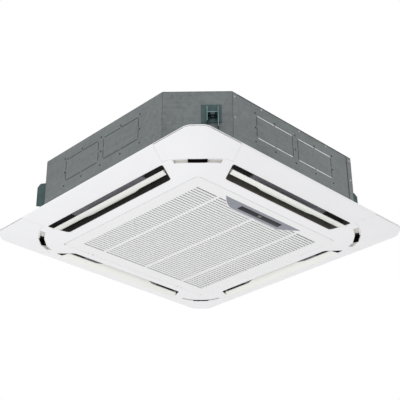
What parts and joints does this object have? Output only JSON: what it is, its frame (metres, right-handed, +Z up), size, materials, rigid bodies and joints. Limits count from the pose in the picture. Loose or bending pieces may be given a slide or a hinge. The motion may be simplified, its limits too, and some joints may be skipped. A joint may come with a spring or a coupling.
{
  "type": "ceiling cassette air conditioner",
  "caption": "Air conditioner that hangs in a ceiling: a steel casing with fan and coil above, and a square panel with a hinged intake grille and an air outlet with a louver on each side below",
  "frame": {"origin": "The panel's centre in the ceiling plane, on which the top of the panel's rim lies.", "axes": "+Z is up, into the ceiling void. -Y is the side of the grille with the display, and +Y is the side of its hinge, where the refrigerant pipes leave. The drain pipe leaves towards +X."},
  "size_m": [0.95, 0.95, 0.2526],
  "materials": {
    "galvanised_steel": "galvanised sheet, satin with a faint spangle",
    "bracket_steel": "galvanised, pressed",
    "panel_white": "white ABS, satin",
    "louver_ivory": "ivory ABS, satin",
    "grille_white": "white ABS, fine texture",
    "guide_dark": "dark brown-grey, matt",
    "display_grey": "silver grey, satin",
    "window_dark": "smoked, glossy",
    "motor_grey": "grey, satin",
    "filter_net": "grey net in a grey frame",
    "gasket_foam": "black closed-cell foam",
    "foam_white": "expanded polystyrene, beaded",
    "fin_aluminium": "fine fins",
    "copper": "drawn copper tube",
    "brass": "machined brass",
    "fan_plastic": "black-grey ABS, matt",
    "box_steel": "zinc-plated sheet",
    "board_green": "green circuit board",
    "pump_plastic": "off-white ABS, matt"
  },
  "bodies": {
    "housing": {"panel_frame": "panel_white", "corner_cover_front_left": "panel_white", "corner_cover_front_right": "panel_white", "corner_cover_back_right": "panel_white", "corner_cover_back_left": "panel_white", "outlet_guide_front": "guide_dark", "louver_motor_front": "motor_grey", "outlet_guide_right": "guide_dark", "louver_motor_right": "motor_grey", "outlet_guide_back": "guide_dark", "louver_motor_back": "motor_grey", "outlet_guide_left": "guide_dark", "louver_motor_left": "motor_grey", "display_housing": "display_grey", "display_window": "window_dark", "panel_gasket": "gasket_foam", "base_frame": "galvanised_steel", "side_panel_front": "galvanised_steel", "side_panel_right": "galvanised_steel", "side_panel_back": "galvanised_steel", "side_panel_left": "galvanised_steel", "corner_panel_front_left": "galvanised_steel", "corner_panel_front_right": "galvanised_steel", "corner_panel_back_right": "galvanised_steel", "corner_panel_back_left": "galvanised_steel", "top_plate": "galvanised_steel", "hanger_bracket_front_left": "bracket_steel", "hanger_bracket_front_right": "bracket_steel", "hanger_bracket_back_right": "bracket_steel", "hanger_bracket_back_left": "bracket_steel", "pipe_plate": "galvanised_steel", "foam_liner": "foam_white", "drain_pan": "foam_white", "bell_plate": "fan_plastic", "bell_mouth": "fan_plastic", "coil": "fin_aluminium", "gas_pipe": "copper", "liquid_pipe": "copper", "gas_nut": "brass", "liquid_nut": "brass", "fan_motor": "motor_grey", "control_box": "box_steel", "control_box_cover": "box_steel", "control_board": "board_green", "terminal_block": "pump_plastic", "drain_pump": "pump_plastic", "drain_spigot": "pump_plastic", "float_stem": "pump_plastic"},
    "fan": {"fan_wheel": "fan_plastic", "fan_shroud": "fan_plastic", "fan_nut": "brass"},
    "louver_front": {"louver_front": "louver_ivory"},
    "louver_right": {"louver_right": "louver_ivory"},
    "louver_back": {"louver_back": "louver_ivory"},
    "louver_left": {"louver_left": "louver_ivory"},
    "grille": {"intake_grille": "grille_white", "air_filter": "filter_net"},
    "latch_left": {"grille_latch_left": "grille_white"},
    "latch_right": {"grille_latch_right": "grille_white"},
    "float": {"float": "pump_plastic"}
  },
  "joints": [
    {"name": "fan_spin", "type": "hinge", "parent": "housing", "child": "fan", "pos_m": [0, 0, 0.11], "axis": [0, 0, 1], "continuous": true},
    {"name": "louver_front_tilt", "type": "hinge", "parent": "housing", "child": "louver_front", "pos_m": [0, -0.375, -0.021], "axis": [1, 0, 0], "range_deg": [-25, 35]},
    {"name": "louver_right_tilt", "type": "hinge", "parent": "housing", "child": "louver_right", "pos_m": [0.375, 0, -0.021], "axis": [0, 1, 0], "range_deg": [-25, 35]},
    {"name": "louver_back_tilt", "type": "hinge", "parent": "housing", "child": "louver_back", "pos_m": [0, 0.375, -0.021], "axis": [-1, 0, 0], "range_deg": [-25, 35]},
    {"name": "louver_left_tilt", "type": "hinge", "parent": "housing", "child": "louver_left", "pos_m": [-0.375, 0, -0.021], "axis": [0, -1, 0], "range_deg": [-25, 35]},
    {"name": "grille_hinge", "type": "hinge", "parent": "housing", "child": "grille", "pos_m": [0, 0.3051, -0.0368], "axis": [1, 0, 0], "range_deg": [0, 90]},
    {"name": "latch_left_slide", "type": "slide", "parent": "grille", "child": "latch_left", "axis": [0, -1, 0], "range_m": [0, 0.0045]},
    {"name": "latch_right_slide", "type": "slide", "parent": "grille", "child": "latch_right", "axis": [0, -1, 0], "range_m": [0, 0.0045]},
    {"name": "float_slide", "type": "slide", "parent": "housing", "child": "float", "axis": [0, 0, 1], "range_m": [0, 0.012]}
  ]
}
